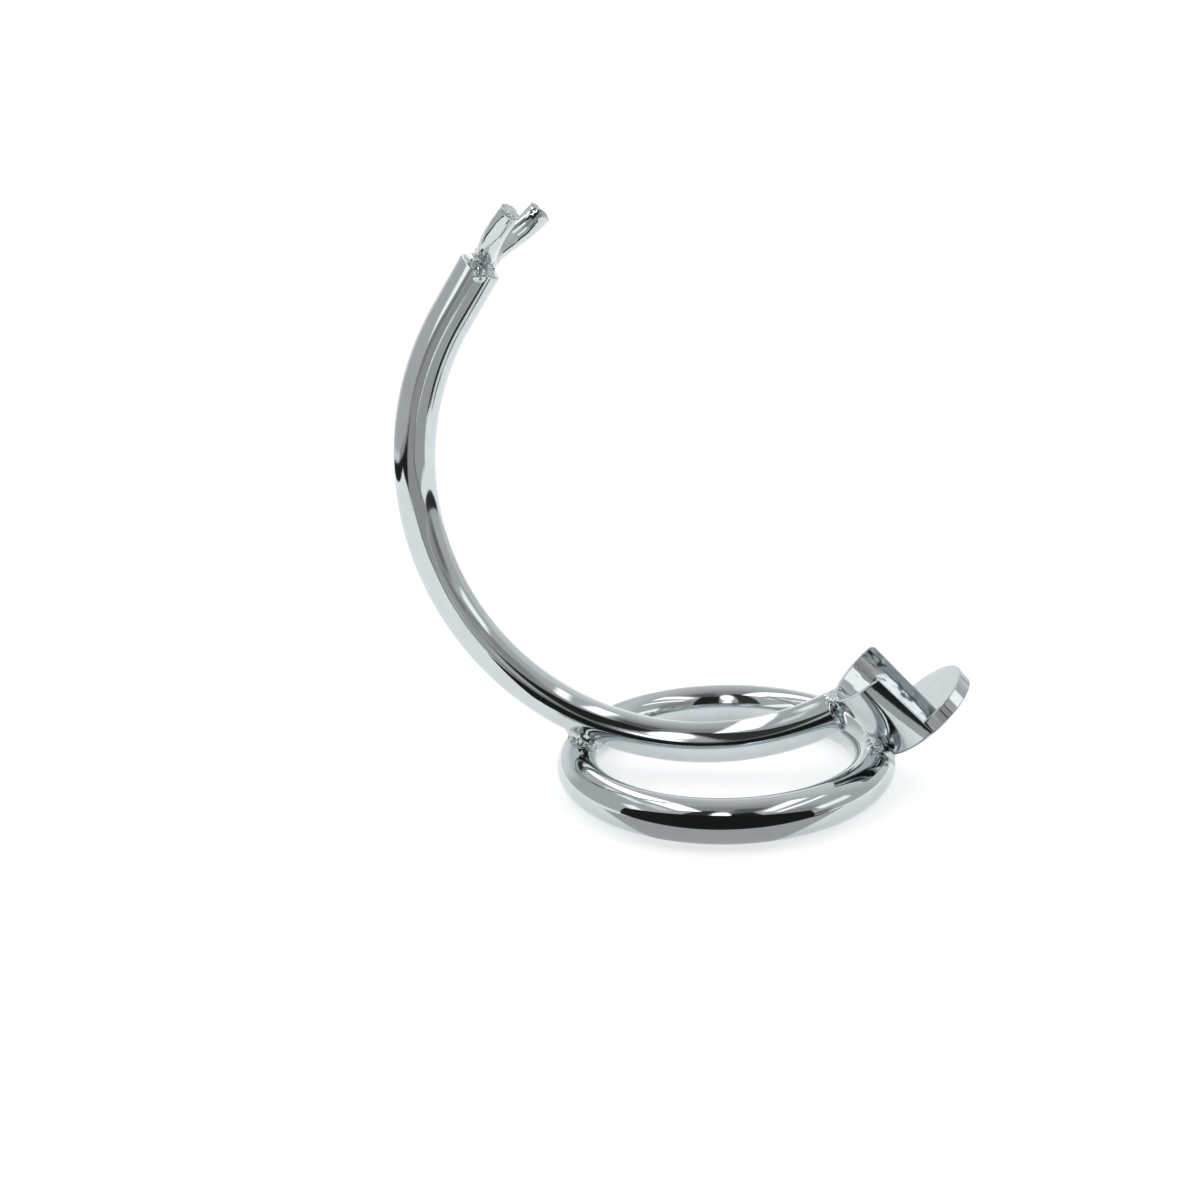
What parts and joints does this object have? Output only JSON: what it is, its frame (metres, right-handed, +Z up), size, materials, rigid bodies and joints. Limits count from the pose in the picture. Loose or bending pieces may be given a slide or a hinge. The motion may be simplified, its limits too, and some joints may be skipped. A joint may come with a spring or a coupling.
{
  "type": "razor stand",
  "caption": "C-shaped chromed rod stand on a ring base, with a two-prong fork for a razor's neck and an open half cup for the end of its handle.",
  "frame": {"origin": "centre of the base ring, on the surface that the stand rests on", "axes": "+Z up; +X from the C-shaped arm's back towards the cup; the arm and the cup's axis lie in the XZ plane"},
  "size_m": [0.0804, 0.049, 0.082],
  "materials": {
    "chrome_rod": "mirror polished plate",
    "chrome_fork": "mirror polished plate",
    "chrome_cup": "mirror polished plate",
    "chrome_braze": "polished plate over filler metal"
  },
  "bodies": {
    "root": {"base_ring": "chrome_rod", "arm": "chrome_rod", "fork_stem": "chrome_fork", "prong_front": "chrome_fork", "prong_back": "chrome_fork", "cup_trough": "chrome_cup", "cup_disc": "chrome_cup", "braze_arm_to_ring": "chrome_braze", "braze_cup_to_ring": "chrome_braze", "braze_arm_to_cup": "chrome_braze", "braze_stem": "chrome_braze", "braze_fork_crotch": "chrome_braze"}
  },
  "joints": []
}
